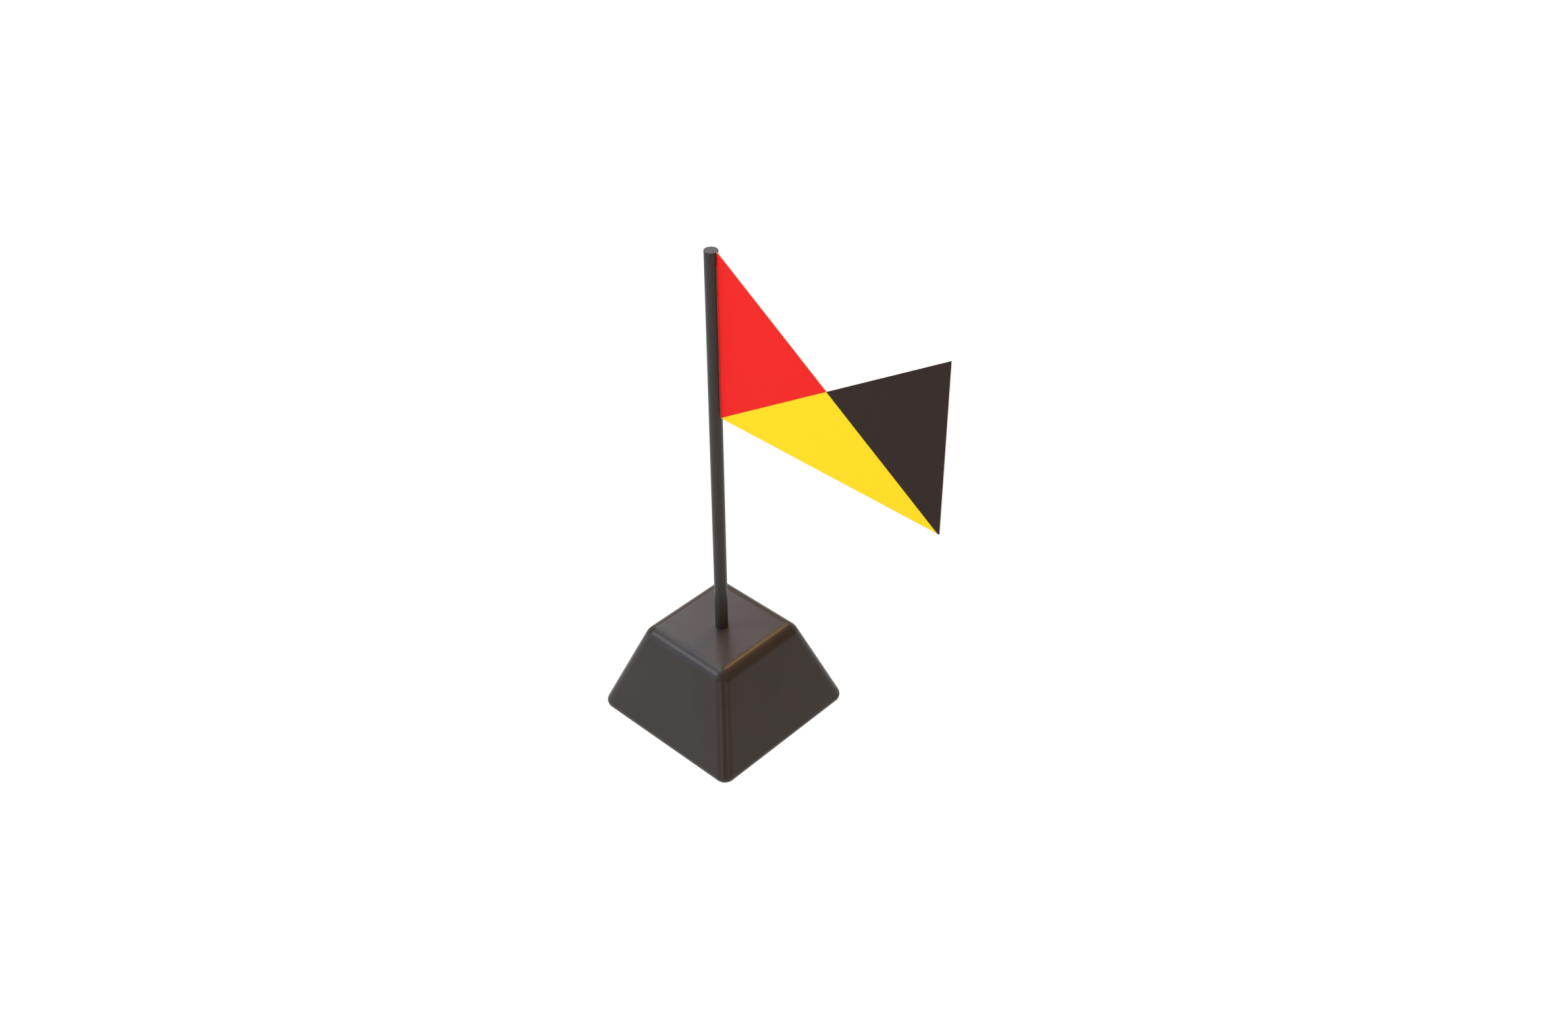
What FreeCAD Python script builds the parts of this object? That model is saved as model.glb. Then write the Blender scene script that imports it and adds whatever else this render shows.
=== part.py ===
"""Desk flag stand: a weighted pyramid base, a slotted pole that turns in it, and a stiff flag.

Millimetres. +Z is up, and Z = 0 is the table that the non-slip pad stands on.
The origin is on the pole's axis. The flag lies in the XZ plane and flies towards +X.
"""
import FreeCAD, Part
import math
import os

from FreeCAD import Vector

# ---- Overall sizes -------------------------------------------------------------------------
POLE_HEIGHT = 311.5          # pole's flat top above the base's underside
POLE_DIAMETER = 7.6
FLAG_LENGTH = 150.0          # along the fly, from the pole's surface
FLAG_HEIGHT = 100.0          # along the hoist
BASE_HALF_BOTTOM = 54.0      # half the side of the pyramid's foot, corners taken sharp
BASE_HALF_TOP = 31.8         # half the side of the pyramid's top, corners taken sharp
BASE_HEIGHT = 62.2
EDGE_ROUND = 6.3             # from a sharp edge to where its rounding meets each face

# ---- Base ----------------------------------------------------------------------------------
SHELL_WALL = 2.8
PAN_FLOOR = 3.2              # at the rim; the pad's recess is cut into it from below
PAN_WALL = 4.6               # wall left outside the pan's tray, at the parting line
LIP_WALL = 1.8               # tongue on the pan that locates the shell
LIP_HEIGHT = 3.5
LIP_CLEARANCE = 0.25
PAD_THICKNESS = 1.5
PAD_PROUD = 0.5              # how far the pad stands below the pan's rim
PAD_RIM = 3.0                # flat rim left on the pan round the pad's recess
PAD_CLEARANCE = 0.2          # round the pad, in its recess
PAD_CORNER = 5.0
PAD_HOLE = 8.4               # in the pad, over each cover screw

COVER_SCREW_INSET = 7.2      # of each cover screw from the recess's two sides
COVER_SCREW_DIAMETER = 3.0
COVER_SCREW_HEAD = 5.6
COVER_SCREW_HEAD_HEIGHT = 1.5
COVER_SCREW_LENGTH = 12.0    # under the head
COVER_SCREW_HOLE = 3.4       # clearance hole in the pan
COVER_SEAT_HEIGHT = 4.0      # of the pan's seat under each boss, above the tray's floor
BOSS_DIAMETER = 8.0
BOSS_HEIGHT = 22.0           # of the shell's screw bosses; the slanted wall cuts them shorter

BALLAST_HEIGHT = 18.0
BALLAST_GAP = 7.0            # between the block's sides and the shell's sloping walls
BALLAST_CLEARANCE = 0.6      # round the pillar and the screw bosses
BALLAST_SCREW_AT = 26.0
BALLAST_SCREW_DIAMETER = 4.0
BALLAST_SCREW_HEAD = 7.0
BALLAST_SCREW_HEAD_HEIGHT = 2.6
BALLAST_SCREW_HOLE = 4.6
BALLAST_POST_DIAMETER = 9.0
BALLAST_POST_HEIGHT = 8.0
BALLAST_SCREW_BITE = 7.0     # thread in the pan's post
WASHER_DIAMETER = 9.0
WASHER_THICKNESS = 0.8

# ---- Swivel in the base --------------------------------------------------------------------
SOCKET_WALL = 2.0            # of the tube that hangs from the shell's top
BUSH_WALL = 2.6
BUSH_FLOOR = 3.0
BUSH_FLANGE_HEIGHT = 1.9
BUSH_CLEARANCE = 0.08        # radial, bush in socket
POLE_CLEARANCE = 0.08        # radial, pole in bush and in the shell's hole
END_PLAY = 0.1               # bush flange under the socket's end
BUSH_TOP_GAP = 0.5           # bush below the shell's top wall
PILLAR_HEIGHT = 9.3          # of the pan's pillar, above the tray's floor
THRUST_WASHER_THICKNESS = 1.0
THRUST_SPIGOT_DIAMETER = 5.2
THRUST_SPIGOT_HEIGHT = 0.8
THRUST_CLEARANCE = 0.1
DRAG_RING_SECTION = 1.7      # thickness of the rubber ring that gives the swivel its drag
DRAG_RING_BELOW = 12.0       # ring's middle below the bush's top
DRAG_RING_CLEARANCE = 0.04
TANG_SIDE = 4.0              # square drive under the pole's foot
TANG_LENGTH = 2.6
TANG_CLEARANCE = 0.1

# ---- Pole ----------------------------------------------------------------------------------
POLE_WALL = 1.5
FOOT_HEAD_HEIGHT = 2.0
FOOT_SPIGOT_LENGTH = 9.0
CAP_DISC_HEIGHT = 1.2
CAP_EDGE_ROUND = 0.25
CAP_SPIGOT_LENGTH = 6.0
CAP_CLEARANCE = 0.05         # radial, cap's spigot in the pole
SLOT_CLEARANCE = 0.2         # each side of the flag's core

# ---- Flag ----------------------------------------------------------------------------------
CORE_THICKNESS = 0.3
FACING_THICKNESS = 0.12
HOIST_GAP = 0.1              # between the facings and the pole
DIAGONAL_INSET = 1.1         # the falling diagonal starts and ends this far in from the corners
BEAD_CLEARANCE = 0.4         # radial, bead in the pole's bore
BEAD_PAST_AXIS = 0.9         # how deep the core's edge goes into the bead
BEAD_END_GAP = 0.4           # bead and tab below the cap's spigot

# ---- Places worked out from the sizes ------------------------------------------------------
BASE_Z = PAD_PROUD
SHELL_TOP_Z = BASE_Z + BASE_HEIGHT
SHELL_CEILING_Z = SHELL_TOP_Z - SHELL_WALL
POLE_TOP_Z = BASE_Z + POLE_HEIGHT
SLOPE = (BASE_HALF_BOTTOM - BASE_HALF_TOP) / BASE_HEIGHT
TILT = math.atan(SLOPE)
WALL_ACROSS = SHELL_WALL / math.cos(TILT)

FACE_TO_FACE = math.acos(math.sin(TILT) ** 2)
FACE_TO_TOP = math.pi / 2 - TILT
FACE_TO_BOTTOM = math.pi / 2 + TILT
CORNER_RADIUS = EDGE_ROUND / math.tan(FACE_TO_FACE / 2)
TOP_RADIUS = EDGE_ROUND / math.tan(FACE_TO_TOP / 2)
BOTTOM_RADIUS = EDGE_ROUND / math.tan(FACE_TO_BOTTOM / 2)
PARTING_Z = BASE_Z + BOTTOM_RADIUS
TRAY_Z = BASE_Z + PAN_FLOOR
RECESS_Z = PAD_THICKNESS
RECESS_HALF = BASE_HALF_BOTTOM - EDGE_ROUND - PAD_RIM
PAD_HALF = RECESS_HALF - PAD_CLEARANCE
COVER_SCREW_AT = RECESS_HALF - COVER_SCREW_INSET
SEAT_Z = TRAY_Z + COVER_SEAT_HEIGHT

POLE_RADIUS = POLE_DIAMETER / 2
BORE_RADIUS = POLE_RADIUS - POLE_WALL
THRUST_Z = TRAY_Z + PILLAR_HEIGHT
BUSH_Z = THRUST_Z + THRUST_WASHER_THICKNESS
FOOT_Z = BUSH_Z + BUSH_FLOOR
TUBE_Z = FOOT_Z + FOOT_HEAD_HEIGHT
CAP_Z = POLE_TOP_Z - CAP_DISC_HEIGHT
BUSH_BORE_RADIUS = POLE_RADIUS + POLE_CLEARANCE
BUSH_RADIUS = BUSH_BORE_RADIUS + BUSH_WALL
SOCKET_BORE_RADIUS = BUSH_RADIUS + BUSH_CLEARANCE
SOCKET_RADIUS = SOCKET_BORE_RADIUS + SOCKET_WALL
SOCKET_Z = BUSH_Z + BUSH_FLANGE_HEIGHT + END_PLAY
BUSH_TOP_Z = SHELL_CEILING_Z - BUSH_TOP_GAP

FLAG_Z = POLE_TOP_Z - FLAG_HEIGHT
HOIST_X = POLE_RADIUS + HOIST_GAP
FLY_X = POLE_RADIUS + FLAG_LENGTH
CENTRE_X = POLE_RADIUS + FLAG_LENGTH / 2
CENTRE_Z = FLAG_Z + FLAG_HEIGHT / 2
TAB_TOP_Z = CAP_Z - CAP_SPIGOT_LENGTH - BEAD_END_GAP


# ---- Small shapes --------------------------------------------------------------------------
def rod(radius, low, high, x=0.0, y=0.0):
    """Upright cylinder between two heights."""
    return Part.makeCylinder(radius, high - low, Vector(x, y, low))


def tube(outer, inner, low, high, x=0.0, y=0.0):
    return rod(outer, low, high, x, y).cut(rod(inner, low, high, x, y))


def cone(radius_low, radius_high, low, high, x=0.0, y=0.0):
    return Part.makeCone(radius_low, radius_high, high - low, Vector(x, y, low))


def block(x_low, x_high, half_y, low, high):
    """Box that is centred on the XZ plane."""
    return Part.makeBox(x_high - x_low, 2 * half_y, high - low, Vector(x_low, -half_y, low))


def square(half, z):
    corners = [Vector(half, half, z), Vector(-half, half, z), Vector(-half, -half, z), Vector(half, -half, z)]
    return Part.makePolygon(corners + corners[:1])


def frustum(half_low, half_high, low, high):
    """Square pyramid with its point cut off."""
    return Part.makeLoft([square(half_low, low), square(half_high, high)], True, True)


def upright_edges(solid):
    """Edges that join the solid's lower outline to its upper one."""
    middle = solid.BoundBox.Center.z
    return [e for e in solid.Edges if e.BoundBox.ZMin < middle < e.BoundBox.ZMax]


def in_corners(at):
    return [(x, y) for x in (-at, at) for y in (-at, at)]


def fused(shapes):
    whole = shapes[0]
    for shape in shapes[1:]:
        whole = whole.fuse(shape)
    return whole.removeSplitter()


def less(shape, tools):
    for tool in tools:
        shape = shape.cut(tool)
    return shape


def cross_recess(side, depth, top_z, x, y, down):
    """Cross-shaped driver recess that goes into a screw head from top_z, down or up."""
    width = side / 4
    low = top_z - depth if down else top_z
    long_x = Part.makeBox(side, width, depth, Vector(x - side / 2, y - width / 2, low))
    long_y = Part.makeBox(width, side, depth, Vector(x - width / 2, y - side / 2, low))
    return long_x.fuse(long_y)


# ---- Base ----------------------------------------------------------------------------------
def outer_half(z):
    """Half the outer side of the pyramid at a height."""
    return BASE_HALF_BOTTOM - SLOPE * (z - BASE_Z)


def inner_half(z):
    return outer_half(z) - WALL_ACROSS


def outer_body():
    """The whole base as one block, with every edge rounded by the same width."""
    sharp = frustum(BASE_HALF_BOTTOM, BASE_HALF_TOP, BASE_Z, SHELL_TOP_Z)
    document = FreeCAD.newDocument("base")
    plain = document.addObject("Part::Feature", "plain")
    plain.Shape = sharp
    rounded = document.addObject("Part::Fillet", "rounded")
    rounded.Base = plain
    sizes = []
    for number, edge in enumerate(sharp.Edges, 1):
        heights = [vertex.Z for vertex in edge.Vertexes]
        level = max(heights) - min(heights) < BASE_HEIGHT / 2
        on_top = min(heights) > BASE_Z + BASE_HEIGHT / 2
        radius = (TOP_RADIUS if on_top else BOTTOM_RADIUS) if level else CORNER_RADIUS
        sizes.append((number, radius, radius))
    rounded.Edges = sizes
    document.recompute()
    shape = rounded.Shape.Solids[0]
    FreeCAD.closeDocument(document.Name)
    return shape


def slab(low, high):
    """Everything between two heights, wider than the base."""
    return block(-2 * BASE_HALF_BOTTOM, 2 * BASE_HALF_BOTTOM, 2 * BASE_HALF_BOTTOM, low, high)


def shell_cavity():
    cavity = frustum(inner_half(PARTING_Z), inner_half(SHELL_CEILING_Z), PARTING_Z, SHELL_CEILING_Z)
    return cavity.makeFillet(CORNER_RADIUS - SHELL_WALL, upright_edges(cavity))


def base_shell(body):
    """Upper moulding: four sloping walls, the top, the socket tube and four screw bosses."""
    upper = body.common(slab(PARTING_Z, SHELL_TOP_Z + 1))
    cavity = shell_cavity()
    bosses = []
    for x, y in in_corners(COVER_SCREW_AT):
        boss = rod(BOSS_DIAMETER / 2, SEAT_Z, SEAT_Z + BOSS_HEIGHT, x, y).common(cavity)
        bosses.append(boss)
    socket = rod(SOCKET_RADIUS, SOCKET_Z, SHELL_CEILING_Z)
    whole = fused([upper.cut(cavity), socket] + bosses)
    tip = RECESS_Z + COVER_SCREW_HEAD_HEIGHT + COVER_SCREW_LENGTH
    pilots = [rod(COVER_SCREW_DIAMETER / 2, SEAT_Z, tip, x, y) for x, y in in_corners(COVER_SCREW_AT)]
    bore = rod(SOCKET_BORE_RADIUS, SOCKET_Z, SHELL_CEILING_Z)
    hole = rod(BUSH_BORE_RADIUS, SHELL_CEILING_Z, SHELL_TOP_Z)
    return less(whole, [bore, hole] + pilots)


def inside_shell(inset):
    """Solid that fits in the shell's mouth, this far from its walls, from the tray to the lip's top."""
    top = PARTING_Z + LIP_HEIGHT
    plug = frustum(inner_half(TRAY_Z) - inset, inner_half(top) - inset, TRAY_Z, top)
    return plug.makeFillet(CORNER_RADIUS - SHELL_WALL - inset, upright_edges(plug))


def pan_lip():
    """Tongue that stands up inside the shell's mouth."""
    return inside_shell(LIP_CLEARANCE).cut(inside_shell(LIP_CLEARANCE + LIP_WALL))


def cover_screw_cuts(x, y):
    """Clearance hole and countersink for one cover screw, from the recess upwards."""
    hole = rod(COVER_SCREW_HOLE / 2, RECESS_Z, SEAT_Z, x, y)
    sink_top = RECESS_Z + COVER_SCREW_HEAD_HEIGHT
    sink = cone(COVER_SCREW_HEAD / 2, COVER_SCREW_DIAMETER / 2, RECESS_Z, sink_top, x, y)
    return [hole, sink]


def base_pan(body):
    """Lower moulding: the rounded foot, a tray floor, screw seats, posts and the swivel's pillar."""
    foot = body.common(slab(BASE_Z - 1, PARTING_Z))
    tray = tray_hollow()
    seats = [rod(BOSS_DIAMETER / 2, TRAY_Z, SEAT_Z, x, y) for x, y in in_corners(COVER_SCREW_AT)]
    posts = [
        rod(BALLAST_POST_DIAMETER / 2, TRAY_Z, TRAY_Z + BALLAST_POST_HEIGHT, x, 0)
        for x in (-BALLAST_SCREW_AT, BALLAST_SCREW_AT)
    ]
    pillar = rod(SOCKET_RADIUS, TRAY_Z, THRUST_Z)
    spigot = rod(THRUST_SPIGOT_DIAMETER / 2, THRUST_Z, THRUST_Z + THRUST_SPIGOT_HEIGHT)
    whole = fused([foot.cut(tray), pan_lip(), pillar, spigot] + seats + posts)
    recess = block(-RECESS_HALF, RECESS_HALF, RECESS_HALF, BASE_Z, RECESS_Z)
    recess = recess.makeFillet(PAD_CORNER, upright_edges(recess))
    cuts = [recess]
    for x, y in in_corners(COVER_SCREW_AT):
        cuts += cover_screw_cuts(x, y)
    post_top = TRAY_Z + BALLAST_POST_HEIGHT
    for x in (-BALLAST_SCREW_AT, BALLAST_SCREW_AT):
        cuts.append(rod(BALLAST_SCREW_DIAMETER / 2, post_top - BALLAST_SCREW_BITE, post_top, x, 0))
    return less(whole, cuts)


def tray_hollow():
    """Hollow of the pan between its floor and the parting line."""
    half = outer_half(PARTING_Z) - PAN_WALL
    tray = block(-half, half, half, TRAY_Z, PARTING_Z)
    return tray.makeFillet(CORNER_RADIUS - SHELL_WALL, upright_edges(tray))


def non_slip_pad():
    pad = block(-PAD_HALF, PAD_HALF, PAD_HALF, 0, PAD_THICKNESS)
    pad = pad.makeFillet(PAD_CORNER - PAD_CLEARANCE, upright_edges(pad))
    return less(pad, [rod(PAD_HOLE / 2, 0, PAD_THICKNESS, x, y) for x, y in in_corners(COVER_SCREW_AT)])


def cover_screw(x, y):
    """Countersunk self-tapping screw, head down in the pan."""
    head_top = RECESS_Z + COVER_SCREW_HEAD_HEIGHT
    head = cone(COVER_SCREW_HEAD / 2, COVER_SCREW_DIAMETER / 2, RECESS_Z, head_top, x, y)
    shank = rod(COVER_SCREW_DIAMETER / 2, head_top, head_top + COVER_SCREW_LENGTH, x, y)
    recess = cross_recess(COVER_SCREW_HEAD * 0.6, COVER_SCREW_HEAD_HEIGHT * 0.7, RECESS_Z, x, y, False)
    return head.fuse(shank).removeSplitter().cut(recess)


def ballast_block():
    """Cast iron weight: a tapered square block with its corners cut off round the screw bosses."""
    top = TRAY_Z + BALLAST_HEIGHT
    iron = frustum(inner_half(TRAY_Z) - BALLAST_GAP, inner_half(top) - BALLAST_GAP, TRAY_Z, top)
    corner = math.sqrt(2) * COVER_SCREW_AT - BOSS_DIAMETER / 2 - BALLAST_CLEARANCE
    diamond = Part.makeBox(2 * corner, 2 * corner, BALLAST_HEIGHT, Vector(-corner, -corner, TRAY_Z))
    diamond.rotate(Vector(0, 0, 0), Vector(0, 0, 1), 45)
    iron = iron.common(diamond)
    cuts = [rod(SOCKET_RADIUS + BALLAST_CLEARANCE, TRAY_Z, top)]
    post_top = TRAY_Z + BALLAST_POST_HEIGHT
    for x in (-BALLAST_SCREW_AT, BALLAST_SCREW_AT):
        cuts.append(rod(BALLAST_POST_DIAMETER / 2 + BALLAST_CLEARANCE, TRAY_Z, post_top, x, 0))
        cuts.append(rod(BALLAST_SCREW_HOLE / 2, post_top, top, x, 0))
    return less(iron, cuts)


def ballast_screw(x):
    """Pan-head screw that goes down through the weight into the pan's post."""
    seat = TRAY_Z + BALLAST_HEIGHT + WASHER_THICKNESS
    head_top = seat + BALLAST_SCREW_HEAD_HEIGHT
    tip = TRAY_Z + BALLAST_POST_HEIGHT - BALLAST_SCREW_BITE
    head = rod(BALLAST_SCREW_HEAD / 2, seat, head_top, x, 0)
    shank = rod(BALLAST_SCREW_DIAMETER / 2, tip, seat, x, 0)
    recess = cross_recess(BALLAST_SCREW_HEAD * 0.55, BALLAST_SCREW_HEAD_HEIGHT * 0.6, head_top, x, 0, True)
    return head.fuse(shank).removeSplitter().cut(recess)


def ballast_washer(x):
    low = TRAY_Z + BALLAST_HEIGHT
    return tube(WASHER_DIAMETER / 2, BALLAST_SCREW_HOLE / 2, low, low + WASHER_THICKNESS, x, 0)


# ---- Swivel --------------------------------------------------------------------------------
def drag_ring_place():
    """Radius of the ring's middle line, and its height."""
    outer = SOCKET_BORE_RADIUS - DRAG_RING_CLEARANCE
    return outer - DRAG_RING_SECTION / 2, BUSH_TOP_Z - DRAG_RING_BELOW


def swivel_bush():
    """Acetal sleeve that holds the pole and turns in the socket."""
    body = rod(BUSH_RADIUS, BUSH_Z, BUSH_TOP_Z)
    flange = rod(SOCKET_RADIUS, BUSH_Z, BUSH_Z + BUSH_FLANGE_HEIGHT)
    middle, height = drag_ring_place()
    low, high = height - DRAG_RING_SECTION / 2, height + DRAG_RING_SECTION / 2
    groove = tube(BUSH_RADIUS, middle - DRAG_RING_SECTION / 2, low, high)
    half = TANG_SIDE / 2 + TANG_CLEARANCE
    drive = block(-half, half, half, BUSH_Z, FOOT_Z)
    return less(fused([body, flange]), [rod(BUSH_BORE_RADIUS, FOOT_Z, BUSH_TOP_Z), groove, drive])


def drag_ring():
    middle, height = drag_ring_place()
    return Part.makeTorus(middle, DRAG_RING_SECTION / 2, Vector(0, 0, height))


def thrust_washer():
    hole = THRUST_SPIGOT_DIAMETER / 2 + THRUST_CLEARANCE
    return tube(SOCKET_RADIUS, hole, THRUST_Z, BUSH_Z)


# ---- Pole ----------------------------------------------------------------------------------
def pole_tube():
    """Aluminium tube with a narrow slot down its +X side, where the flag's edge goes in."""
    slot = block(0, POLE_DIAMETER, CORE_THICKNESS / 2 + SLOT_CLEARANCE, FLAG_Z, CAP_Z)
    return tube(POLE_RADIUS, BORE_RADIUS, TUBE_Z, CAP_Z).cut(slot)


def foot_plug():
    """Plug pressed into the pole's foot, with the square tang that the bush drives."""
    head = rod(POLE_RADIUS, FOOT_Z, TUBE_Z)
    spigot = rod(BORE_RADIUS, TUBE_Z, TUBE_Z + FOOT_SPIGOT_LENGTH)
    tang = block(-TANG_SIDE / 2, TANG_SIDE / 2, TANG_SIDE / 2, FOOT_Z - TANG_LENGTH, FOOT_Z)
    return fused([head, spigot, tang])


def top_cap():
    """Push-in cap that closes the pole and keeps the flag in its slot."""
    disc = rod(POLE_RADIUS, CAP_Z, POLE_TOP_Z)
    rim = [e for e in disc.Edges if e.BoundBox.ZMin > CAP_Z + CAP_DISC_HEIGHT / 2]
    disc = disc.makeFillet(CAP_EDGE_ROUND, rim)
    return fused([disc, rod(BORE_RADIUS - CAP_CLEARANCE, CAP_Z - CAP_SPIGOT_LENGTH, CAP_Z)])


# ---- Flag ----------------------------------------------------------------------------------
def sheet(outline, y_low, thickness):
    """Flat sheet in the XZ plane, from its outline's X and Z, between two Y values."""
    points = [Vector(x, y_low, z) for x, z in outline]
    face = Part.Face(Part.makePolygon(points + points[:1]))
    return face.extrude(Vector(0, thickness, 0))


def flag_points():
    """Corners of the flag: the two hoist ends, the two fly ends, and where the diagonals cross."""
    return {
        "hoist_top": (HOIST_X, POLE_TOP_Z),
        "notch_start": (HOIST_X + DIAGONAL_INSET, POLE_TOP_Z),
        "hoist_bottom": (HOIST_X, FLAG_Z),
        "centre": (CENTRE_X, CENTRE_Z),
        "diagonal_end": (FLY_X - DIAGONAL_INSET, FLAG_Z),
        "fly_bottom": (FLY_X, FLAG_Z),
        "fly_top": (FLY_X, POLE_TOP_Z),
    }


FACINGS = {
    "red": ("hoist_top", "notch_start", "centre", "hoist_bottom"),
    "yellow": ("hoist_bottom", "centre", "diagonal_end"),
    "black": ("centre", "fly_top", "fly_bottom", "diagonal_end"),
}


def flag_core():
    """Stiff sheet in the flag's whole outline, with the tab that goes through the pole's slot."""
    at = flag_points()
    names = ("hoist_bottom", "fly_bottom", "fly_top", "centre", "notch_start", "hoist_top")
    outline = [at[name] for name in names]
    outline += [(HOIST_X, TAB_TOP_Z), (-BEAD_PAST_AXIS, TAB_TOP_Z), (-BEAD_PAST_AXIS, FLAG_Z)]
    return sheet(outline, -CORE_THICKNESS / 2, CORE_THICKNESS)


def flag_bead():
    """Round bead along the core's hidden edge, too thick to pass the slot."""
    radius = BORE_RADIUS - BEAD_CLEARANCE
    slit = block(-BEAD_PAST_AXIS, POLE_RADIUS, CORE_THICKNESS / 2, FLAG_Z, TAB_TOP_Z)
    return rod(radius, FLAG_Z, TAB_TOP_Z).cut(slit)


def facing(colour, front):
    """One coloured panel, bonded to the core's front or back."""
    at = flag_points()
    y_low = -CORE_THICKNESS / 2 - FACING_THICKNESS if front else CORE_THICKNESS / 2
    return sheet([at[name] for name in FACINGS[colour]], y_low, FACING_THICKNESS)


# ---- All the pieces ------------------------------------------------------------------------
def pieces():
    body = outer_body()
    ballast_places = (-BALLAST_SCREW_AT, BALLAST_SCREW_AT)
    found = {
        "base_shell": base_shell(body),
        "base_pan": base_pan(body),
        "non_slip_pad": non_slip_pad(),
        "cover_screws": Part.makeCompound([cover_screw(x, y) for x, y in in_corners(COVER_SCREW_AT)]),
        "ballast_block": ballast_block(),
        "ballast_screws": Part.makeCompound([ballast_screw(x) for x in ballast_places]),
        "ballast_washers": Part.makeCompound([ballast_washer(x) for x in ballast_places]),
        "thrust_washer": thrust_washer(),
        "swivel_bush": swivel_bush(),
        "drag_ring": drag_ring(),
        "pole_tube": pole_tube(),
        "foot_plug": foot_plug(),
        "top_cap": top_cap(),
        "flag_core": flag_core(),
        "flag_bead": flag_bead(),
    }
    for colour in FACINGS:
        found[colour + "_facing_front"] = facing(colour, True)
        found[colour + "_facing_back"] = facing(colour, False)
    return found


os.makedirs("parts", exist_ok=True)
for name, shape in pieces().items():
    shape.exportStep("parts/" + name + ".step")
    print(f"{name}: {len(shape.Solids)} solid(s), {shape.Volume:.1f} mm3, valid {shape.isValid()}")
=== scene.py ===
# %% [markdown]
# # Desk flag stand
# A weighted base of moulded plastic, a slotted pole that turns in it, and a stiff flag of three coloured
# panels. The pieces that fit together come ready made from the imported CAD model, which is the fixed frame
# of the scene. This lesson sets up the camera, the floor and the light, gives every piece a finish of its
# own, and models the pieces whose looks need more than their plain CAD solid.

# %% Load the frame
import math

import bmesh
import bpy
from mathutils import Matrix, Vector


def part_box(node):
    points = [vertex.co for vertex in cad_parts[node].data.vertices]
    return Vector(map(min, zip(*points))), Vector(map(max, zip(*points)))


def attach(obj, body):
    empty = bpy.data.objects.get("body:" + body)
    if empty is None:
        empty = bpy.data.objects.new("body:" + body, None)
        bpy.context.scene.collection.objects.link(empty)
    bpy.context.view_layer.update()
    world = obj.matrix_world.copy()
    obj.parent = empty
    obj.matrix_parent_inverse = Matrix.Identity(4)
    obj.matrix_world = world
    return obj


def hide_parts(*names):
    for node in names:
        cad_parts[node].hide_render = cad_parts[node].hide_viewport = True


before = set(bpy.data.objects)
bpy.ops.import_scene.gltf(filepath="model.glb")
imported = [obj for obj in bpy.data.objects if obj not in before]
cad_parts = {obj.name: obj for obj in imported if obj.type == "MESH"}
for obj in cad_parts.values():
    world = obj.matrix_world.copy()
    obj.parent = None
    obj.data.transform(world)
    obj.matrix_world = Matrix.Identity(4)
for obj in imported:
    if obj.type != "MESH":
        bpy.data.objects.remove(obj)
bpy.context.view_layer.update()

MM = 0.001

# %% [markdown]
# ## Camera
# The stand is seen from its front right, from well above, through a lens a little wider than normal. A
# camera is easiest to place as a person would: a point to look at, two angles round it, and a distance.
# `to_track_quat` turns the camera's own -Z axis, which it looks along, towards that point.

# %% Camera
LOOK_AT = Vector((29.34, 22.46, 152.59)) * MM
CAMERA_AZIMUTH = 42.793      # degrees from -Y towards +X
CAMERA_ELEVATION = 37.071
CAMERA_DISTANCE = 943.16 * MM
SENSOR_WIDTH = 36            # mm, as lens makers give it
FOCAL_LENGTH = 38.795        # mm
NEAREST, FARTHEST = 0.01, 50 # m, between which things are drawn


def outwards(azimuth, elevation):
    """Unit vector from the stand towards something at these two angles, in degrees."""
    turn, rise = math.radians(azimuth), math.radians(elevation)
    return Vector((math.sin(turn) * math.cos(rise), -math.cos(turn) * math.cos(rise), math.sin(rise)))


def aim(thing, target, azimuth, elevation, distance):
    """Puts a camera or a light out there, looking back at the target."""
    direction = outwards(azimuth, elevation)
    thing.location = target + direction * distance
    thing.rotation_euler = (-direction).to_track_quat("-Z", "Y").to_euler()
    bpy.context.scene.collection.objects.link(thing)


lens = bpy.data.cameras.new("camera")
lens.sensor_width = SENSOR_WIDTH
lens.lens = FOCAL_LENGTH
lens.clip_start, lens.clip_end = NEAREST, FARTHEST
camera = bpy.data.objects.new("camera", lens)
aim(camera, LOOK_AT, CAMERA_AZIMUTH, CAMERA_ELEVATION, CAMERA_DISTANCE)
bpy.context.scene.camera = camera
print("camera at, mm:", [round(value / MM, 1) for value in camera.location])

# %% [markdown]
# ## Nodes and meshes
# Every finish below is a small node tree. One function adds any node: its properties go in as keywords, and
# its sockets take a number, a colour or the output of another node. Colours are written as sRGB hex values,
# as a paint chart gives them, and one function turns them linear. Patterns are measured in millimetres, so
# a texture's scale is one over the size of its grain. They are laid on object coordinates, which need no
# unwrapping and run unbroken over every edge.

# %% Helpers for nodes
def linear(colour):
    """sRGB hex value as the linear colour that sockets take."""
    parts = [int(colour[start:start + 2], 16) / 255 for start in (1, 3, 5)]
    return [part / 12.92 if part <= 0.04045 else ((part + 0.055) / 1.055) ** 2.4 for part in parts] + [1.0]


def add_node(tree, kind, sockets=None, **properties):
    """Adds one node, with its properties and with a value or a link for each socket named."""
    node = tree.nodes.new("ShaderNode" + kind)
    for name, value in properties.items():
        setattr(node, name, value)
    for name, value in (sockets or {}).items():
        if isinstance(value, bpy.types.NodeSocket):
            tree.links.new(value, node.inputs[name])
        else:
            node.inputs[name].default_value = value
    return node


print("mid grey #808080 in linear:", round(linear("#808080")[0], 3))

# %% [markdown]
# ## Steps of a finish
# Nearly every finish is built in the same steps: a texture in millimetres, turned into two tones for the
# colour, into a range for the roughness and into a height for the bump, and all of them into one Principled
# shader. Writing every tree out in full would show the same dozen nodes over and over, so each step is a
# function.

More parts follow.
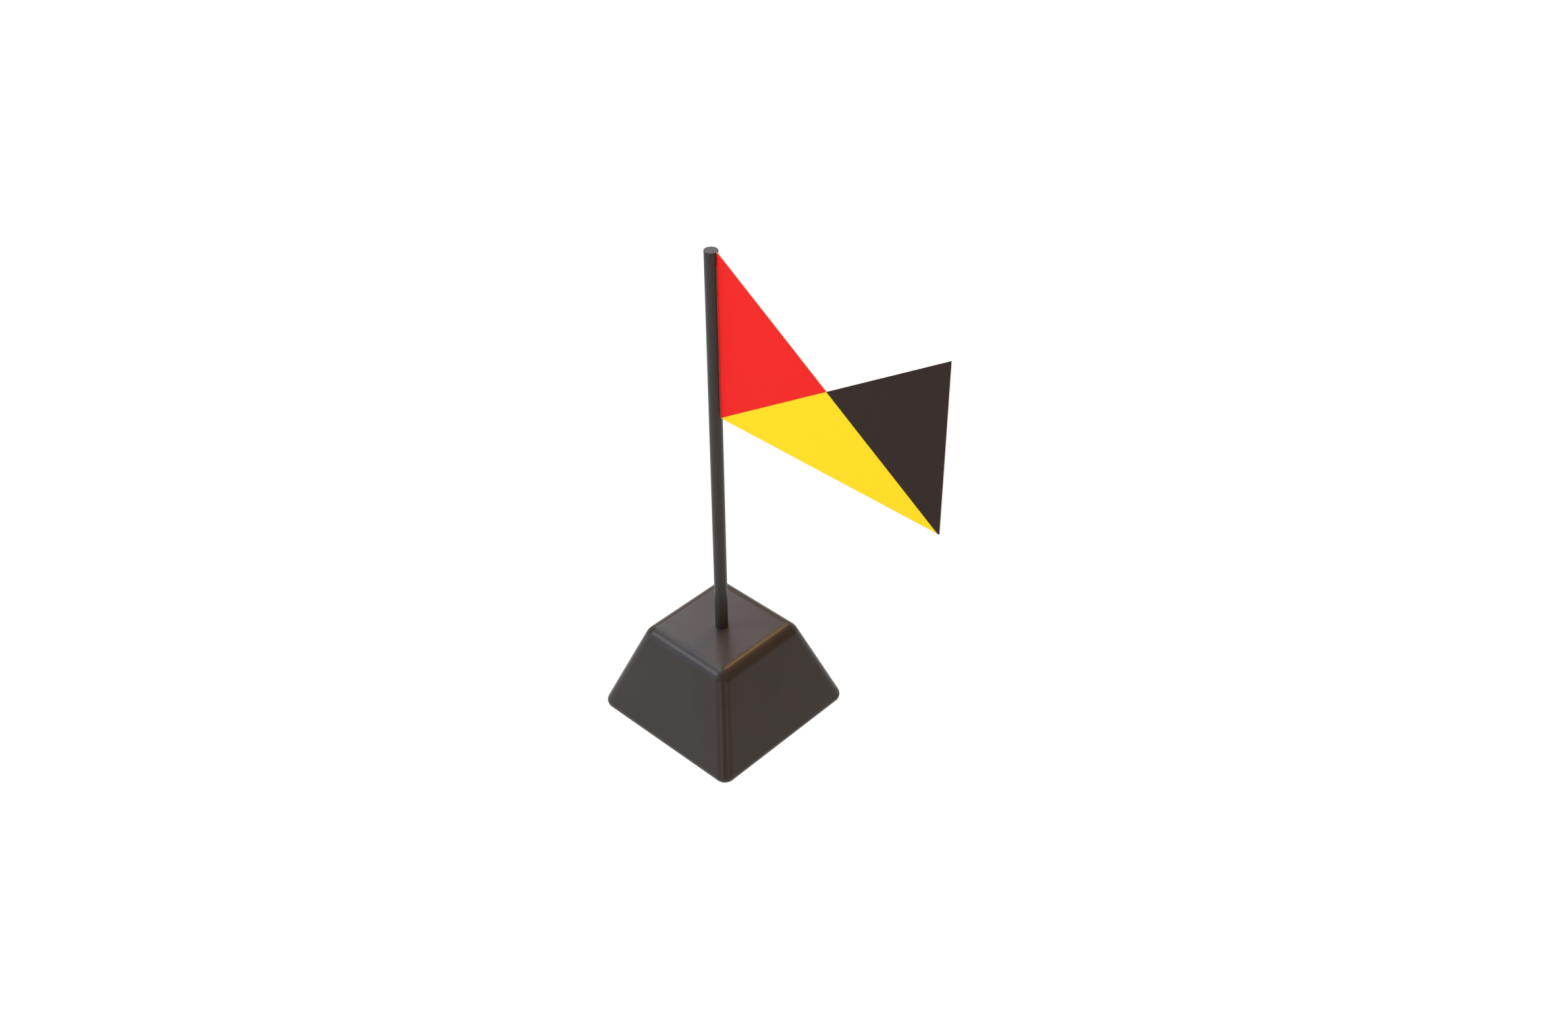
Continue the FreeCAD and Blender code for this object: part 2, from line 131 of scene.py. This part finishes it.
# %% Helpers for finishes
def new_finish(name):
    """Empty material, its node tree, and object coordinates in millimetres."""
    material = bpy.data.materials.new(name)
    material.use_nodes = True
    tree = material.node_tree
    tree.nodes.clear()
    place = add_node(tree, "TexCoord").outputs["Object"]
    place = add_node(tree, "Mapping", {"Vector": place, "Scale": [1 / MM] * 3}).outputs["Vector"]
    return material, tree, place


def shade(tree, sockets):
    """Principled shader on the material's surface."""
    shader = add_node(tree, "BsdfPrincipled", sockets)
    add_node(tree, "OutputMaterial", {"Surface": shader.outputs["BSDF"]})


def between(tree, value, low, high):
    """Takes a texture's value from 0..1 to low..high."""
    return add_node(tree, "MapRange", {"Value": value, "To Min": low, "To Max": high}).outputs["Result"]


def two_tone(tree, value, dark, light, start=0.35, end=0.65):
    """Turns a texture's value into a colour between two tones."""
    ramp = add_node(tree, "ValToRGB", {"Fac": value})
    ramp.color_ramp.elements[0].position = start
    ramp.color_ramp.elements[0].color = linear(dark)
    ramp.color_ramp.elements[1].position = end
    ramp.color_ramp.elements[1].color = linear(light)
    return ramp.outputs["Color"]


def bump(tree, height, depth):
    """Normal of a surface whose height goes up and down by depth, in millimetres."""
    sockets = {"Height": height, "Strength": 1.0, "Distance": depth * MM}
    return add_node(tree, "Bump", sockets).outputs["Normal"]


def dress(material, *nodes):
    """Gives a finish to CAD nodes."""
    for name in nodes:
        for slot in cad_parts[name].material_slots:
            slot.material = material
    print(material.name, "on", ", ".join(nodes))


# %% [markdown]
# ## Floor
# The stand is on a light table: a big sheet of opal acrylic with lamps under it. That is how a picture gets
# a white ground with no shadow on it, and the glow also lights the sloping sides from below. A sheet of
# white board would need much more light from above, and the base would still cast a shadow on it.

# %% Floor
FLOOR_RADIUS = 6.0           # m
FLOOR_SIDES = 96
FLOOR_GLOW = 1.02            # just over white
GLOW_DRIFT = 0.01            # up and down, from lamp to lamp
GLOW_PATCH = 400.0           # mm
FLOOR_GAP = 0.05 * MM        # keeps the table out of the studs' own plane

mesh = bmesh.new()
bmesh.ops.create_circle(
    mesh, cap_ends=True, segments=FLOOR_SIDES, radius=FLOOR_RADIUS,
    matrix=Matrix.Translation((0, 0, -FLOOR_GAP)))
floor_data = bpy.data.meshes.new("floor")
mesh.to_mesh(floor_data)
mesh.free()
floor = bpy.data.objects.new("floor", floor_data)
bpy.context.scene.collection.objects.link(floor)

# Opal acrylic, cast: milk-white and even, with the faintest of clouds in its glow. The lamps under it outshine
# whatever falls on it from above, so its own reflection is nearly left out.
opal, tree, place = new_finish("acrylic_opal")
cloud = add_node(tree, "TexNoise", {"Vector": place, "Scale": 1 / GLOW_PATCH, "Detail": 1.0}).outputs["Fac"]
shade(tree, {
    "Base Color": linear("#101010"),
    "Roughness": 0.9,
    "Specular IOR Level": 0.0,
    "Emission Color": linear("#ffffff"),
    "Emission Strength": between(tree, cloud, FLOOR_GLOW - GLOW_DRIFT, FLOOR_GLOW + GLOW_DRIFT),
})
floor_data.materials.append(opal)
print("floor:", FLOOR_RADIUS, "m in radius, glow", FLOOR_GLOW)

# %% [markdown]
# ## Lights
# The lights are softboxes, which are rectangular lamps behind white cloth, and their places matter more
# than their power. A dark satin base shows mostly what it mirrors: the back ones lie in its flat top, the
# left one runs along its rounded edges, and a small warm lamp draws a thin line on the edge at the right.
# One big dome of light would be simpler, but it would leave the dark pieces with no shape. The room round
# the lamps is dim and warm. A Light Path node lets the eye see a white backdrop there instead, without that
# backdrop lighting the stand.

# %% World
AMBIENT = "#ffc86e"
AMBIENT_STRENGTH = 0.33
BACKDROP = "#ffffff"

world = bpy.data.worlds.new("studio")
world.use_nodes = True
tree = world.node_tree
tree.nodes.clear()
room = add_node(tree, "Background", {"Color": linear(AMBIENT), "Strength": AMBIENT_STRENGTH})
backdrop = add_node(tree, "Background", {"Color": linear(BACKDROP), "Strength": 1.0})
seen = add_node(tree, "LightPath").outputs["Is Camera Ray"]
# A Mix Shader's two inputs share one name, so they go by number: 1 shows where the factor is 0, and 2 where
# it is 1.
either = add_node(tree, "MixShader", {"Fac": seen, 1: room.outputs[0], 2: backdrop.outputs[0]})
add_node(tree, "OutputWorld", {"Surface": either.outputs[0]})
bpy.context.scene.world = world
bpy.context.scene.view_settings.view_transform = "Standard"
print("room light:", AMBIENT, AMBIENT_STRENGTH)

# %% [markdown]
# ## Lamps
# Each lamp is placed as the camera was: by two angles round the stand. All are equally far away, so their
# watts can be compared. Lamps that are low make thin lines on upright edges, and high ones light the flat
# tops.

# %% Lamps
MIDDLE = Vector((30, 0, 90)) * MM
LAMP_DISTANCE = 1.6          # m


def softbox(name, colour, watts, width, height, azimuth, elevation):
    """Soft rectangular light that is aimed at the stand."""
    light = bpy.data.lights.new(name, "AREA")
    light.shape = "RECTANGLE"
    light.size, light.size_y = width, height
    light.energy = watts
    light.color = linear(colour)[:3]
    aim(bpy.data.objects.new(name, light), MIDDLE, azimuth, elevation, LAMP_DISTANCE)
    print(name, watts, "W")


# Each one's name, colour, watts, width and height in metres, azimuth and elevation in degrees.
softbox("left_softbox", "#e9f0ff", 9.2, 0.45, 0.45, -44, 37)
softbox("left_low", "#a3d8ff", 5.4, 0.8, 0.6, -42, 10)
softbox("front_low", "#fff4e6", 1.9, 0.35, 0.35, 18, 4)
softbox("right_low", "#fff0ea", 1.6, 0.35, 0.35, 75, 4)
softbox("back_softbox", "#f0f0ff", 10.6, 0.9, 0.7, 244, 39)
softbox("back_left", "#f0f4ff", 5.0, 0.6, 0.6, 201, 38)
softbox("back_low", "#acddff", 2.6, 1.2, 0.35, 180, 8)
softbox("top_left", "#c1e4ff", 13.4, 0.8, 0.8, 280, 66)
softbox("warm_lamp", "#ffb638", 8.5, 0.25, 0.25, 190, 58)

# %% [markdown]
# ## Moulded plastics
# Most of the stand is moulded plastic, and what changes from one piece to the next is the polymer and the
# mould. The base is black ABS from a spark-eroded steel mould, which leaves a fine, even, matt grain, so
# highlights along its rounded edges are soft. The grain could come from a picture of a texture plate, but
# noise has no seams and a true size: a fine noise roughens the gloss and lifts the surface, and a broad one
# clouds the colour a little, as a moulding does where the melt flowed in.

# %% Moulded plastics
CLOUD_SIZE = 25.0            # mm, of the faint clouds in a moulding's colour
GLOSS_SPREAD = 0.04          # of the roughness, up and down, over the mould's grain


def moulded(name, dark, light, grain, depth, roughness, level):
    """Plastic with a mould's grain, its size and depth in mm, and a colour that clouds between two tones."""
    material, tree, place = new_finish(name)
    fine = add_node(tree, "TexNoise", {"Vector": place, "Scale": 1 / grain, "Detail": 2.0}).outputs["Fac"]
    cloud = add_node(tree, "TexNoise", {"Vector": place, "Scale": 1 / CLOUD_SIZE, "Detail": 2.0})
    shade(tree, {
        "Base Color": two_tone(tree, cloud.outputs["Fac"], dark, light),
        "Roughness": between(tree, fine, roughness - GLOSS_SPREAD, roughness + GLOSS_SPREAD),
        "Specular IOR Level": level,
        "Normal": bump(tree, fine, depth),
    })
    return material


# Black ABS, spark-eroded: warm near-black with a satin sheen. The real grain is 0.1 mm, and it is drawn at
# 0.8 mm, because anything finer doesn't show from this far.
dress(moulded("abs_spark_eroded", "#393330", "#3c3633", 0.8, 0.009, 0.33, 0.2), "base_shell", "base_pan")

# Grey-black nylon 6 from a polished mould: smoother than the base. Its 0.1 mm haze is drawn at 0.6 mm.
nylon = moulded("nylon_polished_mould", "#3a3838", "#3e3c3c", 0.6, 0.003, 0.36, 0.15)
dress(nylon, "foot_plug")

# Natural acetal: milky white, waxy and slightly glossy, as it comes off a lathe or out of a smooth mould.
dress(moulded("acetal_natural", "#e4e1d6", "#ebe8de", 1.0, 0.003, 0.30, 0.5), "swivel_bush", "thrust_washer")

# Natural polypropylene, extruded as the core's sheet and the bead's rod: milky, dull and a little uneven.
# A pale core keeps the thin edges of the flag light.
dress(moulded("polypropylene_extruded", "#e6e3dc", "#eeebe5", 0.7, 0.004, 0.5, 0.3), "flag_core", "flag_bead")

# %% [markdown]
# ## Powder coat on the pole
# The pole is aluminium tube. Bare or anodised metal would flash along its whole length, and this one is
# dull and warm: that is powder coat, a plastic dust that is baked until it flows. It never flows quite
# flat, so it keeps a soft ripple called orange peel, a millimetre or two across, under a satin gloss.

# %% Powder coat
ORANGE_PEEL = 1.6            # mm from one ripple to the next
POWDER_SPECK = 0.5           # mm, drawn ten times as coarse as the real dust
material, tree, place = new_finish("powder_coated_aluminium")
ripple = add_node(tree, "TexNoise", {"Vector": place, "Scale": 1 / ORANGE_PEEL, "Detail": 1.0}).outputs["Fac"]
speck = add_node(tree, "TexNoise", {"Vector": place, "Scale": 1 / POWDER_SPECK, "Detail": 2.0}).outputs["Fac"]
shade(tree, {
    "Base Color": two_tone(tree, speck, "#373433", "#3b3837"),
    "Roughness": between(tree, speck, 0.3, 0.4),
    "Specular IOR Level": 0.22,
    "Normal": bump(tree, ripple, 0.008),
})
dress(material, "pole_tube")

# %% [markdown]
# ## Metals
# None of the metal shows until the stand is taken apart, but each piece still looks like what it is. The
# screws and washers are zinc-plated steel: bright, with the faint blue and straw tints of its passivation.
# The weight is cast iron, whose skin copies the sand of its mould, so it is dark, rough and hardly shines.

# %% Zinc-plated steel
TINT_PATCH = 4.0             # mm
PLATE_GRAIN = 0.3            # mm
material, tree, place = new_finish("steel_zinc_plated")
tint = add_node(tree, "TexNoise", {"Vector": place, "Scale": 1 / TINT_PATCH, "Detail": 2.0}).outputs["Fac"]
plate = add_node(tree, "TexNoise", {"Vector": place, "Scale": 1 / PLATE_GRAIN, "Detail": 2.0}).outputs["Fac"]
shade(tree, {
    "Base Color": two_tone(tree, tint, "#bcc4cf", "#cfcabb"),
    "Metallic": 1.0,
    "Roughness": between(tree, plate, 0.22, 0.36),
    "Normal": bump(tree, plate, 0.002),
})
dress(material, "cover_screws", "ballast_screws", "ballast_washers")

# %% Cast iron
SAND_GRAIN = 0.9             # mm, drawn coarser than moulding sand
RUST_PATCH = 9.0             # mm
material, tree, place = new_finish("iron_sand_cast")
sand = add_node(tree, "TexNoise", {"Vector": place, "Scale": 1 / SAND_GRAIN, "Detail": 4.0}).outputs["Fac"]
rust = add_node(tree, "TexNoise", {"Vector": place, "Scale": 1 / RUST_PATCH, "Detail": 5.0}).outputs["Fac"]
shade(tree, {
    "Base Color": two_tone(tree, rust, "#4b4643", "#5b5753"),
    "Metallic": 0.8,
    "Roughness": between(tree, sand, 0.5, 0.75),
    "Normal": bump(tree, sand, 0.12),
})
dress(material, "ballast_block")

# %% [markdown]
# ## Rubber
# The drag ring and the pad under the base are black rubber. Rubber is matt because its mould is blasted and
# because it blooms: a thin grey haze of wax comes to the surface, in soft patches.

# %% Rubber
BLAST_GRAIN = 0.4            # mm, of the mould's blasted face


def rubber(name, bloom_size):
    """Black rubber with a grey bloom, in patches of about this many mm."""
    material, tree, place = new_finish(name)
    patches = add_node(tree, "TexNoise", {"Vector": place, "Scale": 1 / bloom_size, "Detail": 4.0})
    bloom = patches.outputs["Fac"]
    blast = add_node(tree, "TexNoise", {"Vector": place, "Scale": 1 / BLAST_GRAIN, "Detail": 2.0})
    shade(tree, {
        "Base Color": two_tone(tree, bloom, "#1b1a19", "#272624"),
        "Roughness": between(tree, bloom, 0.62, 0.8),
        "Specular IOR Level": 0.4,
        "Normal": bump(tree, blast.outputs["Fac"], 0.01),
    })
    return material


dress(rubber("rubber_nitrile", 2.0), "drag_ring")
pad_rubber = rubber("rubber_pad", 14.0)

# %% [markdown]
# ## Satin of the flag
# The coloured panels are polyester satin. In satin each lengthwise thread floats over several crosswise
# ones before it dips under one, which makes the face smooth and the colour even. A plain weave of two
# crossed waves would look like canvas, so the pattern here is a Brick texture: its tall bricks are the
# floats, shifted from column to column, and the joints between them are where the threads dip. Real threads
# are 0.15 mm apart. They are drawn at 0.7 mm, as fine as can still show. The panels are cut with a hot
# knife, which melts the last half millimetre into a darker, smoother rim, and the "fused" attribute of the
# mesh says where that is.

# %% Satin
THREAD = 0.7                 # mm between threads, as drawn
FLOAT_LENGTH = 5             # threads that each float passes over
DIP_WIDTH = 0.16             # of a thread, where it dips
COLOUR_A, COLOUR_B, COLOUR_OUT = 6, 7, 2     # a Mix node's colour sockets, whose names repeat


def satin(name, dark, light, rim):
    """Woven cloth in the XZ plane, with floats that run up and down and a fused rim."""
    material, tree, place = new_finish(name)
    parts = add_node(tree, "SeparateXYZ", {"Vector": place}).outputs
    upright = add_node(tree, "CombineXYZ", {"X": parts["Z"], "Y": parts["X"]}).outputs["Vector"]
    weave = add_node(tree, "TexBrick", {
        "Vector": upright, "Scale": 1 / THREAD, "Brick Width": FLOAT_LENGTH, "Row Height": 1.0,
        "Mortar Size": DIP_WIDTH, "Mortar Smooth": 1.0,
        "Color1": linear("#ffffff"), "Color2": linear("#e6e6e6"), "Mortar": linear("#808080"),
    }, offset=0.4, offset_frequency=2).outputs["Color"]
    cloth = two_tone(tree, weave, dark, light, 0.2, 1.0)
    fused = add_node(tree, "Attribute", attribute_name="fused").outputs["Fac"]
    mixed = add_node(tree, "Mix", {"Factor": fused, COLOUR_A: cloth, COLOUR_B: linear(rim)}, data_type="RGBA")
    shade(tree, {
        "Base Color": mixed.outputs[COLOUR_OUT],
        "Roughness": between(tree, fused, 0.65, 0.45),
        "Specular IOR Level": 0.1,
        "Normal": bump(tree, weave, 0.012),
    })
    return material


SATINS = {
    "red": satin("satin_red", "#f0201c", "#f32420", "#e21f1c"),
    "yellow": satin("satin_yellow", "#fddb1a", "#ffe01e", "#f2cf1a"),
    "black": satin("satin_black", "#2f231f", "#332823", "#2a1f1b"),
}
print("cloth:", ", ".join(material.name for material in SATINS.values()))

# %% [markdown]
# ## Building new pieces
# The panels, the pad and the cap are modelled here, because a plain solid doesn't give their looks. Each
# starts as a flat outline or a profile, which an operator turns into a closed solid. An edge is shaded smooth
# where its two faces turn by less than 30 degrees, and every other edge stays crisp.

# %% Helpers for pieces
SMOOTH_UNDER = math.radians(30)
SHARP_OVER = math.radians(60)


def sharp_edges(mesh):
    """Edges where the surface turns a corner."""
    return [edge for edge in mesh.edges if edge.calc_face_angle(0) > SHARP_OVER]


def thicken(mesh, shift):
    """Extrudes the flat patch in a mesh into a closed solid."""
    grown = bmesh.ops.extrude_face_region(mesh, geom=mesh.faces[:])["geom"]
    moved = [part for part in grown if isinstance(part, bmesh.types.BMVert)]
    bmesh.ops.translate(mesh, verts=moved, vec=shift)
    bmesh.ops.recalc_face_normals(mesh, faces=mesh.faces[:])


def round_off(mesh, width):
    """Rounds every sharp edge."""
    bmesh.ops.bevel(
        mesh, geom=sharp_edges(mesh), offset=width, segments=2, profile=0.5, affect="EDGES", material=-1)


def new_piece(mesh, name, material, body, node):
    """Makes a piece of the stand from a finished bmesh, in place of a CAD node."""
    bmesh.ops.recalc_face_normals(mesh, faces=mesh.faces[:])
    for face in mesh.faces:
        face.smooth = True
    for edge in mesh.edges:
        edge.smooth = edge.calc_face_angle(0) < SMOOTH_UNDER
    open_edges = sum(1 for edge in mesh.edges if len(edge.link_faces) != 2)
    data = bpy.data.meshes.new(name)
    mesh.to_mesh(data)
    mesh.free()
    data.materials.append(material)
    piece = bpy.data.objects.new(name, data)
    bpy.context.scene.collection.objects.link(piece)
    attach(piece, body)
    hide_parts(node)
    print(f"{name}: {len(data.polygons)} faces, {open_edges} open edges")
    return piece


print("smooth under", round(math.degrees(SMOOTH_UNDER)), "degrees")
print("rounded over", round(math.degrees(SHARP_OVER)), "degrees")

# %% [markdown]
# ## Panels of the flag
# The flag is a rectangle cut by its two diagonals. Red is the quarter at the pole, yellow the one below and
# black the one at the far end, and the top quarter is left open. Each side has its own three panels, bonded
# flat to the stiff core, so nothing droops and a cloth simulation has nothing to do. A bare plane would do
# from the front, but it has no edge, so each panel is extruded to the thickness of its cloth, its rim is
# rounded as melted polyester is, and an inset marks the fused strip.

# %% Panels
RIM_ROUND = 0.04 * MM
FUSED_WIDTH = 0.5 * MM

hoist_low, hoist_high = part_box("red_facing_front")
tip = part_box("yellow_facing_front")[1].x
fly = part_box("black_facing_front")[1].x
hoist, centre_x = hoist_low.x, hoist_high.x
bottom, top = hoist_low.z, hoist_high.z
centre_z = (bottom + top) / 2
CUTS = {
    "red": [(hoist, bottom), (centre_x, centre_z), (hoist + fly - tip, top), (hoist, top)],
    "yellow": [(hoist, bottom), (tip, bottom), (centre_x, centre_z)],
    "black": [(tip, bottom), (fly, bottom), (fly, top), (centre_x, centre_z)],
}


def panel(colour, side):
    """One coloured panel, from its outline to a piece of cloth with a fused rim."""
    name = f"{colour}_panel_{side}"
    node = f"{colour}_facing_{side}"
    low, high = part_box(node)
    mesh = bmesh.new()
    corners = [mesh.verts.new((x, low.y, z)) for x, z in CUTS[colour]]
    bmesh.ops.contextual_create(mesh, geom=corners)
    area = sum(face.calc_area() for face in mesh.faces)
    thicken(mesh, (0, high.y - low.y, 0))
    round_off(mesh, RIM_ROUND)
    fused = mesh.verts.layers.float.new("fused")
    for vert in mesh.verts:
        vert[fused] = 1.0
    broad = [face for face in mesh.faces if face.calc_area() > area / 2]
    bmesh.ops.inset_region(mesh, faces=broad, thickness=FUSED_WIDTH, use_even_offset=True)
    for vert in {vert for face in broad for vert in face.verts}:
        vert[fused] = 0.0
    piece = new_piece(mesh, name, SATINS[colour], "flag", node)


for colour in CUTS:
    for side in ("front", "back"):
        panel(colour, side)

# %% [markdown]
# ## Non-slip pad
# The pad that the stand stands on is a sheet of rubber with rows of small round studs, which bite better
# than a flat sheet and let dust fall between them. Its outline, the holes over the screws and the studs'
# circles are drawn flat, and one fill makes a sheet of them all, so the studs grow out of the pad and
# aren't stuck into it. Placing hundreds of loose cylinders would be quicker, but each would leave a hidden
# face inside the pad.

# %% Pad outline
STUD_PITCH = 5.0 * MM
STUD_RADIUS = 1.4 * MM
STUD_TIP = 0.8               # a stud's end is this share of its foot, so that it leaves its mould
STUD_HEIGHT = 0.35 * MM
STUD_SIDES = 10
STUD_GAP = 1.0 * MM          # rubber left between a stud and a screw hole
PAD_CORNER = 4.8 * MM
CORNER_SEGMENTS = 8
PAD_ROUND = 0.2 * MM         # along the pad's rims
PAD_MARGIN = 2.5 * MM        # from the outermost studs' middles to the edge, at least
SCREW_HOLE = 4.2 * MM
HOLE_SIDES = 32
SCREW_HEAD = 2.8 * MM        # a radius, as the hole's is
FACING_DOWN = -0.9           # a face whose normal's Z is under this looks down

pad_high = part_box("non_slip_pad")[1]
screw_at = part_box("cover_screws")[1].x - SCREW_HEAD


def circle(mesh, x, y, radius, sides):
    """Ring of edges at the height of the pad's underside, where the studs begin."""
    centre = Matrix.Translation((x, y, STUD_HEIGHT))
    return bmesh.ops.create_circle(mesh, segments=sides, radius=radius, matrix=centre)["verts"]


mesh = bmesh.new()
bmesh.ops.create_grid(
    mesh, x_segments=1, y_segments=1, size=pad_high.x, matrix=Matrix.Translation((0, 0, STUD_HEIGHT)))
bmesh.ops.bevel(
    mesh, geom=mesh.verts[:], offset=PAD_CORNER, affect="VERTICES", segments=CORNER_SEGMENTS,
    profile=0.5, material=-1)
for x in (-screw_at, screw_at):
    for y in (-screw_at, screw_at):
        circle(mesh, x, y, SCREW_HOLE, HOLE_SIDES)
steps = int((pad_high.x - PAD_MARGIN) / STUD_PITCH)
studs = []
for column in range(-steps, steps + 1):
    for row in range(-steps, steps + 1):
        x, y = column * STUD_PITCH, row * STUD_PITCH
        if math.hypot(abs(x) - screw_at, abs(y) - screw_at) > SCREW_HOLE + STUD_RADIUS + STUD_GAP:
            studs.append(circle(mesh, x, y, STUD_RADIUS, STUD_SIDES))
print(len(studs), "studs, every", STUD_PITCH / MM, "mm")

# %% [markdown]
# ## From outline to pad
# The circles and the outline are only edges now. One triangle fill spans them, leaving every circle open,
# and then each stud gets its own face, so that it can be picked out by its number of sides and pushed down
# once the sheet is thick.

# %% Pad solid
bmesh.ops.delete(mesh, geom=mesh.faces[:], context="FACES_ONLY")
bmesh.ops.triangle_fill(mesh, edges=mesh.edges[:], use_beauty=True, normal=(0, 0, 1))
for ring in studs:
    bmesh.ops.contextual_create(mesh, geom=ring)
thicken(mesh, (0, 0, pad_high.z - STUD_HEIGHT))
round_off(mesh, PAD_ROUND)
feet = [face for face in mesh.faces if len(face.verts) == STUD_SIDES and face.normal.z < FACING_DOWN]
for face in bmesh.ops.extrude_discrete_faces(mesh, faces=feet)["faces"]:
    middle = face.calc_center_median()
    bmesh.ops.scale(
        mesh, vec=(STUD_TIP, STUD_TIP, 1), space=Matrix.Translation(-middle), verts=face.verts[:])
    bmesh.ops.translate(mesh, vec=(0, 0, -STUD_HEIGHT), verts=face.verts[:])
new_piece(mesh, "studded_pad", pad_rubber, "base", "non_slip_pad")

# %% [markdown]
# ## Cap
# The cap that closes the pole is a disc on a push-in spigot. It is round, so half its section is drawn once,
# from the axis out and back, and spun round the axis. A cylinder with a bevel would give the disc, but not the
# spigot's lead-in or the groove behind its snap rim.

# %% Cap
DISC_EDGE = 0.12 * MM
LEAD_IN = 0.5 * MM
SPIGOT = 2.25 * MM           # radius
RIB = 0.12 * MM              # how far the snap rim stands out of the spigot
SPIN_STEPS = 64
SAME_POINT = 0.001 * MM

cap_low, cap_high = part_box("top_cap")
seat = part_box("pole_tube")[1].z
disc = cap_high.x
PROFILE = [
    (0, cap_low.z), (SPIGOT - LEAD_IN, cap_low.z), (SPIGOT, cap_low.z + LEAD_IN),
    (SPIGOT, cap_low.z + 2 * LEAD_IN), (SPIGOT - RIB, cap_low.z + 2 * LEAD_IN + RIB),
    (SPIGOT - RIB, seat - LEAD_IN), (SPIGOT, seat - LEAD_IN + RIB), (SPIGOT, seat),
    (disc, seat), (disc, cap_high.z - DISC_EDGE), (disc - DISC_EDGE, cap_high.z), (0, cap_high.z),
]
mesh = bmesh.new()
points = [mesh.verts.new((x, 0, z)) for x, z in PROFILE]
line = [mesh.edges.new(pair) for pair in zip(points, points[1:])]
bmesh.ops.spin(
    mesh, geom=points + line, cent=(0, 0, 0), axis=(0, 0, 1), dvec=(0, 0, 0), angle=2 * math.pi,
    steps=SPIN_STEPS, use_merge=True)
bmesh.ops.remove_doubles(mesh, verts=mesh.verts[:], dist=SAME_POINT)
new_piece(mesh, "pole_cap", nylon, "cap", "top_cap")
